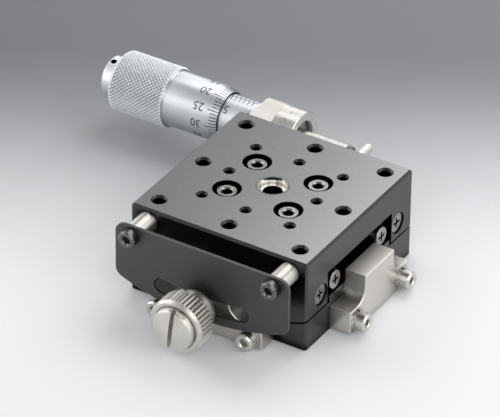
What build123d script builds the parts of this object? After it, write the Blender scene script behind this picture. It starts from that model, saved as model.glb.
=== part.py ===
from build123d import *
import math
import os

# Stage
rotation_height = 35.0
top_thickness = 6.0
base_floor = 2.6
edge_chamfer = 0.5
corner_chamfer = 0.4
light_edge = 0.15

# Crossed roller guides, all arcs about the rotation centre
guide_drop = 8.0
rail_height = 4.0
rail_width = 4.8
rail_gap = 0.6
rail_gap_y = 11.7
roller_diameter = 1.5
roller_clearance = 0.03
roller_lean = 45.0
roller_count = 12
roller_pitch = 2.5
cage_thickness = 0.3
cage_height = 3.2
cage_margin = 1.1
inner_rail_recess = 1.5
outer_rail_recess = 1.35

# Table
leg_drop = 3.0
channel_clearance = 0.2
leg_gap = 0.4
rib_clearance = 0.58
rib_setback = 4.0
wide_bolt_pitch = 16.0
fine_bolt_pitch = 10.0
bolt_margin = 4.0
m3_tap_radius = 1.25
m2_tap_radius = 0.8
m3_tap_depth = 5.0
m2_tap_depth = 4.0
tap_mouth = 0.45
base_bolt_depth = 4.0

# Screws
thread_clearance = 0.05
pass_clearance = 0.1
head_clearance = 0.15
m2_radius = 1.0
m2_head_radius = 1.9
m2_head_height = 2.0
m2_hex = 1.5
m25_radius = 1.25
m25_head_radius = 2.25
m25_head_height = 2.5
m25_hex = 2.0
m3_radius = 1.5
socket_share = 0.5
head_edge = 0.3
shank_edge = 0.2
socket_mouth = 0.33
stop_head_radius = 2.0
stop_head_height = 1.2
stop_spot_radius = 2.3
stop_spot_depth = 0.3
stop_screw_setback = 2.6
stop_screw_length = 2.2
countersink_angle = 90.0
cross_width = 0.55
cross_span = 2.3
cross_depth = 0.8
cross_taper = 12.0
rail_screw_x = 8.0
rail_screw_bite = 2.6
spring_washer_radius = 2.2
spring_washer_thickness = 0.5
spring_washer_slit = 0.5

# Reference bush in the table top and the plate that holds it
bush_radius = 3.3
bush_recess_radius = 3.0
bush_recess_depth = 1.3
bush_bore_radius = 2.0
bush_flange_radius = 4.5
bush_flange = 1.0
plate_screw_x = 7.0
plate_screw_y = 5.6
plate_screw_pocket = 2.95
plate_screw_depth = 3.0
bush_plate_length = 20.0
bush_plate_width = 17.0
bush_plate_thickness = 2.5
bush_plate_corner = 2.0
bush_plate_bore = 3.0

# Blocks on the base's end and front faces
block_bottom = 0.4
block_depth = 4.6
block_foot_top = 5.35
block_cover = 3.75
block_half_width = 5.4
block_fillet = 3.1
end_block_half_length = 10.9
end_block_screw = 8.5
clamp_block_half_length = 12.9
clamp_block_screw = 10.2
clamp_block_screw_drop = 0.2
side_relief = 0.35
base_pad_drop = 0.1
block_screw_length = 8.0

# Clamp plate and its standoffs
plate_gap = 5.4
plate_thickness = 0.6
plate_half_width = 19.6
plate_top_drop = 0.6
plate_skirt = 2.4
plate_corner = 2.2
slot_rise = 1.15
slot_width = 3.5
slot_half_angle = 11.0
standoff_x = 16.0
standoff_drop = 2.9
standoff_radius = 2.1
standoff_screw_length = 8.0

# Clamp knob, stud and washer
clamp_opening = 1.6
knob_radius = 5.85
knob_length = 4.5
knob_rim = 0.5
knob_flutes = 42
flute_depth = 0.45
flute_half_width = 0.4
knob_collar_radius = 3.9
knob_collar = 2.7
washer_radius = 4.2
washer_thickness = 0.5
knob_boss_radius = 4.5
knob_boss = 1.8
knob_boss_edge = 0.6
knob_dome = 0.3
knob_groove_width = 0.25
knob_groove_depth = 0.3
knob_slot_width = 0.9
knob_slot_depth = 1.7
knob_slot_angle = 6.0
stud_inset = 3.2
stud_end_clearance = 0.1

# Micrometer head
mic_offset = 10.1
mic_z = 10.0
contact_gap = 0.05
spindle_radius = 2.45
spindle_screw_radius = 2.7
spindle_step_x = -26.0
spindle_tip_radius = 2.3
spindle_tip_length = 0.9
spindle_tail_radius = 2.0
running_clearance = 0.1
sleeve_radius = 4.8
sleeve_stem_radius = 4.25
sleeve_end_x = -45.5
sleeve_nose_recess = 1.2
sleeve_step_x = -19.0
bracket_left_x = -21.7
bracket_thickness = 5.25
nut_radius = 6.2
nut_length = 5.05
nut_holes = 4
nut_hole_angle = 55.0
nut_hole_radius = 0.5
nut_hole_depth = 1.0
nut_hole_setback = 0.8
thimble_edge_x = -28.7
thimble_radius = 5.9
thimble_bevel_length = 2.4
thimble_edge_radius = 5.25
thimble_mouth_radius = 5.1
thimble_mouth_depth = 2.0
knurl_radius = 6.5
knurl_start_x = -41.3
knurl_end_x = -54.4
knurl_edge = 0.5
thimble_wall = 2.0
cap_radius = 4.5
cap_length = 3.0
cap_edge = 0.5
cap_hole_radius = 0.65
cap_hole_depth = 1.6
cap_hole_setback = 1.25
cap_hole_angle = 102.5

# Micrometer bracket
bracket_bottom = 2.55
bracket_rise = 5.0
bracket_far_edge = 6.2
bracket_corner = 3.6
foot_left_x = -19.6
foot_right_x = -5.8
foot_depth = 3.0
foot_top = 4.6
foot_bottom = 0.4
bracket_screw_x = (-14.2, -8.8)
bracket_screw_drop = 0.5

# Contact pin and return spring
pin_radius = 1.15
pin_length = 15.2
pin_flange_radius = 2.0
pin_flange = 0.6
pin_thread = 2.8
pin_groove_radius = 0.7
spring_offset = 2.3
spring_wire = 0.45
spring_coil_radius = 1.2
spring_coils = 10
bend_swell = 0.03
spring_start_gap = 1.05
spring_end_x = -1.6
spring_bore_radius = 1.45
anchor_pin_radius = 0.6
anchor_pin_x = -19.0
anchor_pin_depth = 10.0

# Derived places
face = wide_bolt_pitch + bolt_margin
plan = 2 * face
guide_radius = rotation_height + top_thickness + guide_drop
leg_radius = guide_radius + leg_drop
pivot_z = base_floor + leg_gap + leg_radius
height = pivot_z - rotation_height
ceiling_z = height - top_thickness
rib_radius = math.hypot(face, pivot_z - ceiling_z) + rib_clearance
rail_inner_radius = guide_radius - rail_height / 2
rail_outer_radius = guide_radius + rail_height / 2
inner_rail_face = rail_gap_y - rail_gap / 2
outer_rail_face = rail_gap_y + rail_gap / 2
inner_rail_back = inner_rail_face - rail_width
outer_rail_back = outer_rail_face + rail_width
channel_half = outer_rail_face + channel_clearance
vee_reach = roller_diameter / math.sqrt(2)
bracket_right_x = bracket_left_x + bracket_thickness
thimble_floor_x = knurl_end_x + thimble_wall
plate_face = face + plate_gap + plate_thickness
washer_back = plate_face + clamp_opening
collar_back = washer_back + washer_thickness
knob_back = collar_back + knob_collar
knob_face = knob_back + knob_length
boss_face = knob_face + knob_boss
stud_end = face + side_relief + clamp_opening + stud_end_clearance
nut_face_x = bracket_right_x + nut_length
stop_z = pivot_z - math.sqrt(guide_radius**2 - face**2)
slot_radius = guide_radius - slot_rise
slot_z = pivot_z - slot_radius
plate_bottom_radius = guide_radius + plate_skirt
plate_top = height - plate_top_drop
standoff_z = height - standoff_drop
block_top = slot_z + block_cover
base_pad_top = base_floor - base_pad_drop
clamp_block_screw_z = base_floor - clamp_block_screw_drop
bracket_screw_z = base_floor - bracket_screw_drop
bracket_top = mic_z + bracket_rise
sleeve_nose_x = nut_face_x - sleeve_nose_recess
mic_y = face + mic_offset
spring_y = face + spring_offset
spring_start_x = bracket_right_x + spring_start_gap
pin_x = pin_radius
spindle_tip_x = -contact_gap

pivot = Axis((0, 0, pivot_z), (0, 1, 0))
mic_axis = Axis((0, mic_y, mic_z), (1, 0, 0))
front = Plane.XZ
back = Plane((0, 0, 0), x_dir=(-1, 0, 0), z_dir=(0, 1, 0))
right = Plane.YZ
left = Plane((0, 0, 0), x_dir=(0, -1, 0), z_dir=(-1, 0, 0))
mic_section = Plane((0, mic_y, mic_z), x_dir=(1, 0, 0), z_dir=(0, -1, 0))
mic_across = Plane((0, mic_y, mic_z), x_dir=(0, 1, 0), z_dir=(1, 0, 0))
clamp_axis = Axis((0, 0, slot_z), (0, -1, 0))
clamp_section = Plane((0, 0, slot_z), x_dir=(0, -1, 0), z_dir=(-1, 0, 0))
bottom = (Align.CENTER, Align.CENTER, Align.MIN)
top = (Align.CENTER, Align.CENTER, Align.MAX)

os.makedirs("parts", exist_ok=True)


def save(builder, name):
    builder.part.label = name
    export_step(builder.part, f"parts/{name}.step")


# Height of an arc about the rotation centre at a distance x from the middle
def arc_z(radius, x):
    return pivot_z - math.sqrt(radius**2 - x**2)


# Side profile of the base below an arc about the rotation centre
def below_arc(radius):
    Rectangle(plan, height, align=(Align.CENTER, Align.MIN))
    with Locations((0, pivot_z)):
        Circle(radius, mode=Mode.SUBTRACT)


# Eight places of a square grid, less the one at its centre
def around_centre(pitch):
    steps = (-pitch, 0, pitch)
    return [(x, y) for x in steps for y in steps if x or y]


# Two holes of one radius in the present sketch
def hole_pair(x, y, radius):
    with Locations((-x, y), (x, y)):
        Circle(radius)


def socket_screw(radius, length, head_radius, head_height, hex_size):
    with BuildPart() as screw:
        Cylinder(head_radius, head_height, align=bottom)
        chamfer(screw.edges().group_by(Axis.Z)[-1], head_edge)
        Cylinder(radius, length, align=top)
        chamfer(screw.edges().group_by(Axis.Z)[0], shank_edge)
        with BuildSketch(Plane.XY.offset(head_height)):
            RegularPolygon(hex_size / 2, 6, major_radius=False)
        extrude(amount=-head_height * socket_share, mode=Mode.SUBTRACT)
        mouth_radius = hex_size / 2 + socket_mouth
        with Locations((0, 0, head_height)):
            Cone(hex_size / 2, mouth_radius, socket_mouth, align=top, mode=Mode.SUBTRACT)
    return screw.part


def m2_screw(length):
    return socket_screw(m2_radius, length, m2_head_radius, m2_head_height, m2_hex)


# Tapered cross for a screwdriver, sunk from a screw head's face
def cross_recess(head_face):
    with BuildPart() as recess:
        for turn in (0, 90):
            with BuildSketch(Plane.XY.offset(head_face)):
                Rectangle(cross_span, cross_width, rotation=turn)
            extrude(amount=-cross_depth, taper=cross_taper)
    return recess.part


# Countersunk screw with a cross recess, its head's face at z = 0
def countersunk_screw(length):
    with BuildPart() as screw:
        cone = stop_head_radius - m2_radius
        Cylinder(m2_radius, length, align=top)
        Cone(m2_radius, stop_head_radius, cone, align=top)
        add(cross_recess(0), mode=Mode.SUBTRACT)
    return screw.part


# Flat-headed screw with a cross recess, its head resting at z = 0
def cheese_screw(length):
    with BuildPart() as screw:
        Cylinder(stop_head_radius, stop_head_height, align=bottom)
        chamfer(screw.edges().group_by(Axis.Z)[-1], light_edge)
        Cylinder(m2_radius, length, align=top)
        add(cross_recess(stop_head_height), mode=Mode.SUBTRACT)
    return screw.part


# Split ring that rests at z = 0
def spring_washer():
    with BuildPart() as washer:
        with BuildSketch():
            Circle(spring_washer_radius)
            Circle(m2_radius + pass_clearance, mode=Mode.SUBTRACT)
            Rectangle(
                spring_washer_slit,
                spring_washer_radius,
                align=(Align.CENTER, Align.MIN),
                mode=Mode.SUBTRACT,
            )
        extrude(amount=spring_washer_thickness)
    return washer.part


# Base: floor, shoulders that carry the inner rails, and the rib between them
with BuildPart() as base:
    with BuildSketch(front):
        below_arc(leg_radius + leg_gap)
    extrude(amount=face, both=True)
    with BuildSketch(front):
        below_arc(rail_outer_radius)
    extrude(amount=inner_rail_face, both=True)
    with BuildSketch(front):
        below_arc(rib_radius)
        Rectangle(
            2 * (face - rib_setback), height, align=(Align.CENTER, Align.MIN), mode=Mode.INTERSECT
        )
    extrude(amount=inner_rail_back, both=True)
    corners = base.edges().filter_by(Axis.Z)
    chamfer(corners.group_by(Axis.Y)[0] + corners.group_by(Axis.Y)[-1], corner_chamfer)
    chamfer(base.faces().sort_by(Axis.Z)[0].outer_wire().edges(), light_edge)
    with BuildSketch(Plane.XY):
        with GridLocations(2 * wide_bolt_pitch, 2 * wide_bolt_pitch, 2, 2):
            Circle(m3_tap_radius)
    extrude(amount=base_bolt_depth, mode=Mode.SUBTRACT)
    rail_mid_y = (inner_rail_face + inner_rail_back) / 2
    rail_screw_grid = GridLocations(2 * rail_screw_x, 2 * rail_mid_y, 2, 2)
    rail_seat_z = arc_z(rail_outer_radius, rail_screw_x)
    with BuildSketch(Plane.XY):
        with rail_screw_grid:
            Circle(m2_head_radius + head_clearance)
    extrude(amount=m2_head_height + head_clearance, mode=Mode.SUBTRACT)
    with BuildSketch(Plane.XY):
        with rail_screw_grid:
            Circle(m2_radius + pass_clearance)
    extrude(amount=rail_seat_z + rail_screw_bite, mode=Mode.SUBTRACT)
    block_bite = block_screw_length - block_depth - spring_washer_thickness
    bite_depth = block_bite + pass_clearance
    with BuildSketch(right.offset(face)):
        hole_pair(end_block_screw, base_floor, m2_radius + thread_clearance)
    extrude(amount=-bite_depth, mode=Mode.SUBTRACT)
    with BuildSketch(front.offset(face)):
        hole_pair(clamp_block_screw, clamp_block_screw_z, m2_radius + thread_clearance)
    extrude(amount=-bite_depth, mode=Mode.SUBTRACT)
    with BuildSketch(back.offset(face)):
        for x in bracket_screw_x:
            with Locations((-x, bracket_screw_z)):
                Circle(m2_radius + thread_clearance)
    extrude(amount=-bite_depth, mode=Mode.SUBTRACT)
save(base, "base")

# Inner rails: hardened arcs with a V groove facing outwards
with BuildPart() as inner_rails:
    for side in (-1, 1):
        with BuildSketch(Plane.YZ):
            with BuildLine():
                Polyline(
                    (side * inner_rail_back, pivot_z - rail_inner_radius),
                    (side * inner_rail_face, pivot_z - rail_inner_radius),
                    (side * inner_rail_face, pivot_z - guide_radius + vee_reach - rail_gap / 2),
                    (side * (rail_gap_y - vee_reach), pivot_z - guide_radius),
                    (side * inner_rail_face, pivot_z - guide_radius - vee_reach + rail_gap / 2),
                    (side * inner_rail_face, pivot_z - rail_outer_radius),
                    (side * inner_rail_back, pivot_z - rail_outer_radius),
                    close=True,
                )
            make_face()
    revolve(axis=pivot)
    Box(2 * (face - inner_rail_recess), plan, height, align=bottom, mode=Mode.INTERSECT)
    with BuildSketch(Plane.XY):
        with rail_screw_grid:
            Circle(m2_radius + thread_clearance)
    extrude(amount=rail_seat_z + rail_screw_bite, mode=Mode.SUBTRACT)
    inner_stop_y = inner_rail_face - stop_screw_setback
    for end in (left, right):
        with BuildSketch(end.offset(face - inner_rail_recess)):
            hole_pair(inner_stop_y, stop_z, m2_radius + thread_clearance)
        extrude(amount=-(stop_screw_length + pass_clearance), mode=Mode.SUBTRACT)
save(inner_rails, "inner_rails")

# Screws from below that hold the inner rails
rail_screw_length = rail_seat_z + rail_screw_bite - m2_head_height - head_clearance
with BuildPart() as inner_rail_screws:
    seat = m2_head_height + head_clearance
    with Locations(Plane((0, 0, seat), x_dir=(1, 0, 0), z_dir=(0, 0, -1))):
        with GridLocations(2 * rail_screw_x, 2 * rail_mid_y, 2, 2):
            add(m2_screw(rail_screw_length - pass_clearance))
save(inner_rail_screws, "inner_rail_screws")

# Cross-recessed screws in the inner rails' ends that stop the cages
with BuildPart() as base_stop_screws:
    for end in (left, right):
        with Locations(end.offset(face - inner_rail_recess)):
            with Locations((-inner_stop_y, stop_z), (inner_stop_y, stop_z)):
                add(cheese_screw(stop_screw_length))
save(base_stop_screws, "base_stop_screws")

# Outer rails, set in pockets of the table's legs
with BuildPart() as outer_rails:
    for side in (-1, 1):
        with BuildSketch(Plane.YZ):
            with BuildLine():
                Polyline(
                    (side * outer_rail_back, pivot_z - rail_inner_radius),
                    (side * outer_rail_face, pivot_z - rail_inner_radius),
                    (side * outer_rail_face, pivot_z - guide_radius + vee_reach - rail_gap / 2),
                    (side * (rail_gap_y + vee_reach), pivot_z - guide_radius),
                    (side * outer_rail_face, pivot_z - guide_radius - vee_reach + rail_gap / 2),
                    (side * outer_rail_face, pivot_z - rail_outer_radius),
                    (side * outer_rail_back, pivot_z - rail_outer_radius),
                    close=True,
                )
            make_face()
    revolve(axis=pivot)
    Box(2 * (face - outer_rail_recess), plan, height, align=bottom, mode=Mode.INTERSECT)
    rail_screw_z = arc_z(guide_radius, rail_screw_x)
    for skin in (front, back):
        with BuildSketch(skin.offset(outer_rail_back)):
            hole_pair(rail_screw_x, rail_screw_z, m2_radius + thread_clearance)
        extrude(amount=-rail_screw_bite, mode=Mode.SUBTRACT)
    for end in (left, right):
        with BuildSketch(end.offset(face - outer_rail_recess)):
            hole_pair(outer_rail_face + stop_screw_setback, stop_z, m2_radius + thread_clearance)
        extrude(amount=-stop_screw_length, mode=Mode.SUBTRACT)
save(outer_rails, "outer_rails")

# Rollers, crossed one after the other, in two arcs between the rails
roller_step = math.degrees(roller_pitch / guide_radius)
roller_radius = roller_diameter / 2 - roller_clearance
roller_length = roller_diameter - 2 * roller_clearance
first_roller = -roller_step * (roller_count - 1) / 2
roller_angles = [first_roller + i * roller_step for i in range(roller_count)]
with BuildPart() as rollers:
    for side in (-1, 1):
        for i, angle in enumerate(roller_angles):
            around = Plane((0, side * rail_gap_y, pivot_z)).rotated((0, angle, 0))
            lean = roller_lean if i % 2 else -roller_lean
            with Locations(around):
                with Locations(Location((0, 0, -guide_radius), (lean, 0, 0))):
                    Cylinder(roller_radius, roller_length)
save(rollers, "rollers")

# Cages: thin arcs with a window for each roller
cage_half_angle = -first_roller + math.degrees(cage_margin / guide_radius)
with BuildPart() as roller_cages:
    for side in (-1, 1):
        middle = front.offset(-side * rail_gap_y)
        with BuildSketch(middle):
            with BuildLine():
                CenterArc((0, pivot_z), guide_radius, -90 - cage_half_angle, 2 * cage_half_angle)
                offset(amount=cage_height / 2, side=Side.BOTH, kind=Kind.INTERSECTION)
            make_face()
            for angle in roller_angles:
                x = guide_radius * math.sin(math.radians(-angle))
                z = pivot_z - guide_radius * math.cos(math.radians(angle))
                window = 2 * (vee_reach + roller_clearance)
                with Locations(Location((x, z), -angle)):
                    Rectangle(roller_diameter + 2 * roller_clearance, window, mode=Mode.SUBTRACT)
        extrude(amount=cage_thickness / 2, both=True)
save(roller_cages, "roller_cages")

# Table: a saddle whose two legs hang over the guides
with BuildPart() as table:
    with BuildSketch(front):
        Rectangle(plan, height, align=(Align.CENTER, Align.MIN))
        with Locations((0, pivot_z)):
            Circle(leg_radius, mode=Mode.INTERSECT)
    extrude(amount=face, both=True)
    chamfer(table.edges().filter_by(Axis.Z), corner_chamfer)
    chamfer(table.faces().sort_by(Axis.Z)[-1].outer_wire().edges(), edge_chamfer)
    Box(plan, 2 * channel_half, ceiling_z, align=bottom, mode=Mode.SUBTRACT)
    with BuildSketch(front):
        with Locations((0, pivot_z)):
            Circle(rail_outer_radius)
            Circle(rail_inner_radius, mode=Mode.SUBTRACT)
        Rectangle(
            2 * (face - outer_rail_recess),
            ceiling_z,
            align=(Align.CENTER, Align.MIN),
            mode=Mode.INTERSECT,
        )
    extrude(amount=outer_rail_back, both=True, mode=Mode.SUBTRACT)
    for pitch, radius, depth in (
        (wide_bolt_pitch, m3_tap_radius, m3_tap_depth),
        (fine_bolt_pitch, m2_tap_radius, m2_tap_depth),
    ):
        with BuildSketch(Plane.XY.offset(height)):
            with Locations(*around_centre(pitch)):
                Circle(radius)
        extrude(amount=-depth, mode=Mode.SUBTRACT)
    mouths = table.faces().sort_by(Axis.Z)[-1].inner_wires()
    chamfer([edge for mouth in mouths for edge in mouth.edges()], tap_mouth)
    with BuildSketch(Plane.XY.offset(height)):
        with GridLocations(2 * plate_screw_x, 2 * plate_screw_y, 2, 2):
            Circle(plate_screw_pocket)
    extrude(amount=-plate_screw_depth, mode=Mode.SUBTRACT)
    with BuildSketch(Plane.XY.offset(height)):
        with GridLocations(2 * plate_screw_x, 2 * plate_screw_y, 2, 2):
            Circle(m25_radius + pass_clearance)
        Circle(bush_radius + thread_clearance)
    extrude(amount=-(height - ceiling_z), mode=Mode.SUBTRACT)
    for skin in (front, back):
        with BuildSketch(skin.offset(face)):
            hole_pair(rail_screw_x, rail_screw_z, m2_head_radius + head_clearance)
        extrude(amount=-(m2_head_height + head_clearance), mode=Mode.SUBTRACT)
        with BuildSketch(skin.offset(face)):
            hole_pair(rail_screw_x, rail_screw_z, m2_radius + pass_clearance)
        extrude(amount=-(face - outer_rail_back), mode=Mode.SUBTRACT)
    for end in (left, right):
        stop_y = outer_rail_face + stop_screw_setback
        with BuildSketch(end.offset(face)):
            hole_pair(stop_y, stop_z, stop_spot_radius)
        extrude(amount=-stop_spot_depth, mode=Mode.SUBTRACT)
        with Locations(end.offset(face - stop_spot_depth)):
            with Locations((-stop_y, stop_z), (stop_y, stop_z)):
                CounterSinkHole(
                    m2_radius + thread_clearance,
                    stop_head_radius + thread_clearance,
                    outer_rail_recess,
                    countersink_angle,
                )
    with BuildSketch(front.offset(face)):
        hole_pair(standoff_x, standoff_z, m2_radius + thread_clearance)
    extrude(
        amount=-(standoff_screw_length - plate_gap - plate_thickness + pass_clearance),
        mode=Mode.SUBTRACT,
    )
    with BuildSketch(back.offset(face)):
        with Locations((-pin_x, mic_z)):
            Circle(m2_radius + thread_clearance)
    extrude(amount=-(pin_thread + pass_clearance), mode=Mode.SUBTRACT)
save(table, "table")

# Screws through the legs that hold the outer rails
with BuildPart() as outer_rail_screws:
    for skin in (front, back):
        with Locations(skin.offset(face - m2_head_height - head_clearance)):
            with Locations((-rail_screw_x, rail_screw_z), (rail_screw_x, rail_screw_z)):
                wall = face - m2_head_height - head_clearance - outer_rail_back
                add(m2_screw(wall + rail_screw_bite - pass_clearance))
save(outer_rail_screws, "outer_rail_screws")

# Cross-recessed screws in the table's end faces
with BuildPart() as table_stop_screws:
    for end in (left, right):
        with Locations(end.offset(face - stop_spot_depth)):
            with Locations((-stop_y, stop_z), (stop_y, stop_z)):
                add(countersunk_screw(stop_screw_length))
save(table_stop_screws, "table_stop_screws")

# Reference bush with a flange under the table top
with BuildPart() as centre_bush:
    with Locations((0, 0, height)):
        Cylinder(bush_radius, height - ceiling_z, align=top)
    with Locations((0, 0, ceiling_z)):
        Cylinder(bush_flange_radius, bush_flange, align=top)
    with Locations((0, 0, height)):
        Cylinder(bush_recess_radius, bush_recess_depth, align=top, mode=Mode.SUBTRACT)
        Cylinder(bush_bore_radius, height, align=top, mode=Mode.SUBTRACT)
save(centre_bush, "centre_bush")

# Plate under the table top that clamps the bush's flange
with BuildPart() as bush_plate:
    with BuildSketch(Plane.XY.offset(ceiling_z)):
        RectangleRounded(bush_plate_length, bush_plate_width, bush_plate_corner)
        Circle(bush_plate_bore, mode=Mode.SUBTRACT)
        with GridLocations(2 * plate_screw_x, 2 * plate_screw_y, 2, 2):
            Circle(m25_radius + thread_clearance, mode=Mode.SUBTRACT)
    extrude(amount=-bush_plate_thickness)
    with Locations((0, 0, ceiling_z)):
        Cylinder(
            bush_flange_radius + pass_clearance, bush_flange, align=top, mode=Mode.SUBTRACT
        )
save(bush_plate, "bush_plate")

with BuildPart() as bush_plate_screws:
    seat = height - plate_screw_depth
    with Locations((0, 0, seat)):
        with GridLocations(2 * plate_screw_x, 2 * plate_screw_y, 2, 2):
            add(
                socket_screw(
                    m25_radius,
                    seat - ceiling_z + bush_plate_thickness,
                    m25_head_radius,
                    m25_head_height,
                    m25_hex,
                )
            )
save(bush_plate_screws, "bush_plate_screws")


# Outline of a block with two feet and a raised middle
def footed_outline(plane, half_length):
    with BuildSketch(plane) as outline:
        with Locations((0, block_bottom)):
            Rectangle(
                2 * half_length,
                block_foot_top - block_bottom,
                align=(Align.CENTER, Align.MIN),
            )
            Rectangle(
                2 * block_half_width, block_top - block_bottom, align=(Align.CENTER, Align.MIN)
            )
        corners = outline.vertices().group_by(Axis.Y)[1].sort_by(Axis.X)
        fillet(corners[1:-1], block_fillet)
    return outline.sketch


# Block on the base's right end
with BuildPart() as end_block:
    extrude(footed_outline(right.offset(face), end_block_half_length), amount=block_depth)
    with BuildSketch(right.offset(face)):
        hole_pair(end_block_screw, base_floor, m2_radius + pass_clearance)
    extrude(amount=block_depth, mode=Mode.SUBTRACT)
    chamfer(end_block.faces().sort_by(Axis.X)[-1].outer_wire().edges(), light_edge)
save(end_block, "end_block")

block_seat = face + block_depth
block_screw_seat = block_seat + spring_washer_thickness
end_screw_places = ((-end_block_screw, base_floor), (end_block_screw, base_floor))
with BuildPart() as end_block_screws:
    with Locations(right.offset(block_screw_seat)):
        with Locations(*end_screw_places):
            add(m2_screw(block_screw_length))
save(end_block_screws, "end_block_screws")

# Threaded block on the base's front, relieved behind for the table's leg
with BuildPart() as clamp_block:
    extrude(footed_outline(front.offset(face), clamp_block_half_length), amount=block_depth)
    with BuildSketch(front.offset(face)):
        hole_pair(clamp_block_screw, clamp_block_screw_z, m2_radius + pass_clearance)
    extrude(amount=block_depth, mode=Mode.SUBTRACT)
    with BuildSketch(front.offset(face)):
        with Locations((0, base_pad_top)):
            Rectangle(plan, height, align=(Align.CENTER, Align.MIN))
    extrude(amount=side_relief, mode=Mode.SUBTRACT)
    with BuildSketch(front.offset(face)):
        with Locations((0, slot_z)):
            Circle(m3_radius + thread_clearance)
    extrude(amount=block_depth, mode=Mode.SUBTRACT)
    chamfer(clamp_block.faces().sort_by(Axis.Y)[0].outer_wire().edges(), light_edge)
save(clamp_block, "clamp_block")

clamp_screw_places = (
    (-clamp_block_screw, clamp_block_screw_z),
    (clamp_block_screw, clamp_block_screw_z),
)
with BuildPart() as clamp_block_screws:
    with Locations(front.offset(block_screw_seat)):
        with Locations(*clamp_screw_places):
            add(m2_screw(block_screw_length))
save(clamp_block_screws, "clamp_block_screws")

# Spring washers under the heads of both blocks' screws
with BuildPart() as spring_washers:
    for plane, places in ((right, end_screw_places), (front, clamp_screw_places)):
        with Locations(plane.offset(block_seat)):
            with Locations(*places):
                add(spring_washer())
save(spring_washers, "spring_washers")

# Standoffs and the slotted plate that they carry
with BuildPart() as standoffs:
    with BuildSketch(front.offset(face)):
        hole_pair(standoff_x, standoff_z, standoff_radius)
        with Locations((-standoff_x, standoff_z), (standoff_x, standoff_z)):
            Circle(m2_radius + pass_clearance, mode=Mode.SUBTRACT)
    extrude(amount=plate_gap)
save(standoffs, "standoffs")

with BuildPart() as clamp_plate:
    with BuildSketch(front.offset(face + plate_gap)) as outline:
        with Locations((0, plate_top)):
            Rectangle(2 * plate_half_width, height, align=(Align.CENTER, Align.MAX))
        with Locations((0, pivot_z)):
            Circle(plate_bottom_radius, mode=Mode.INTERSECT)
        fillet(outline.vertices(), plate_corner)
        with BuildLine():
            slot_line = CenterArc(
                (0, pivot_z), slot_radius, -90 - slot_half_angle, 2 * slot_half_angle
            )
        SlotArc(slot_line, slot_width, mode=Mode.SUBTRACT)
        with Locations((-standoff_x, standoff_z), (standoff_x, standoff_z)):
            Circle(m2_radius + pass_clearance, mode=Mode.SUBTRACT)
    extrude(amount=plate_thickness)
save(clamp_plate, "clamp_plate")

with BuildPart() as clamp_plate_screws:
    with Locations(front.offset(plate_face)):
        with Locations((-standoff_x, standoff_z), (standoff_x, standoff_z)):
            add(m2_screw(standoff_screw_length))
save(clamp_plate_screws, "clamp_plate_screws")

# Washer between the knob's collar and the clamp plate
with BuildPart() as clamp_washer:
    with BuildSketch(front.offset(washer_back)):
        with Locations((0, slot_z)):
            Circle(washer_radius)
            Circle(m3_radius + pass_clearance, mode=Mode.SUBTRACT)
    extrude(amount=washer_thickness)
save(clamp_washer, "clamp_washer")

# Knurled clamp knob with a raised, slightly domed centre and a screwdriver slot
with BuildPart() as clamp_knob:
    boss_edge_x = boss_face - knob_dome
    dome_radius = (knob_boss_radius**2 + knob_dome**2) / (2 * knob_dome)
    dome_angle = math.degrees(math.asin(knob_boss_radius / dome_radius))
    groove_radius = knob_boss_radius + knob_groove_width
    bore_end = knob_face - stud_inset
    with BuildSketch(clamp_section):
        with BuildLine():
            Polyline(
                (bore_end, 0),
                (bore_end, m3_radius + thread_clearance),
                (collar_back, m3_radius + thread_clearance),
                (collar_back, knob_collar_radius),
                (knob_back, knob_collar_radius),
                (knob_back, knob_radius - light_edge),
                (knob_back + light_edge, knob_radius),
                (knob_face - knob_rim, knob_radius),
                (knob_face, knob_radius - knob_rim),
                (knob_face, groove_radius),
                (knob_face - knob_groove_depth, groove_radius),
                (knob_face - knob_groove_depth, knob_boss_radius),
                (boss_edge_x, knob_boss_radius),
            )
            CenterArc((boss_face - dome_radius, 0), dome_radius, 0, dome_angle)
            Line((boss_face, 0), (bore_end, 0))
        make_face()
    revolve(axis=clamp_axis)
    rings = clamp_knob.edges().filter_by(lambda edge: edge.is_closed)
    fillet(rings.sort_by(Axis.Y)[0], knob_boss_edge)
    with BuildSketch(front.offset(knob_back)):
        with Locations((0, slot_z)):
            with PolarLocations(knob_radius, knob_flutes):
                Polygon(
                    (-flute_depth, 0),
                    (light_edge, -flute_half_width),
                    (light_edge, flute_half_width),
                    align=None,
                )
    extrude(amount=knob_length - knob_rim, mode=Mode.SUBTRACT)
    with BuildSketch(front.offset(boss_face)):
        with Locations(Location((0, slot_z), -knob_slot_angle)):
            Rectangle(knob_slot_width, 2 * knob_boss_radius)
    extrude(amount=-knob_slot_depth, mode=Mode.SUBTRACT)
save(clamp_knob, "clamp_knob")

# Stud pressed into the knob and screwed into the clamp block
with BuildPart() as clamp_stud:
    with BuildSketch(front.offset(stud_end)):
        with Locations((0, slot_z)):
            Circle(m3_radius)
    extrude(amount=knob_face - stud_inset - stud_end)
    chamfer(clamp_stud.edges().group_by(Axis.Y)[-1], shank_edge)
save(clamp_stud, "clamp_stud")

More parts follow.
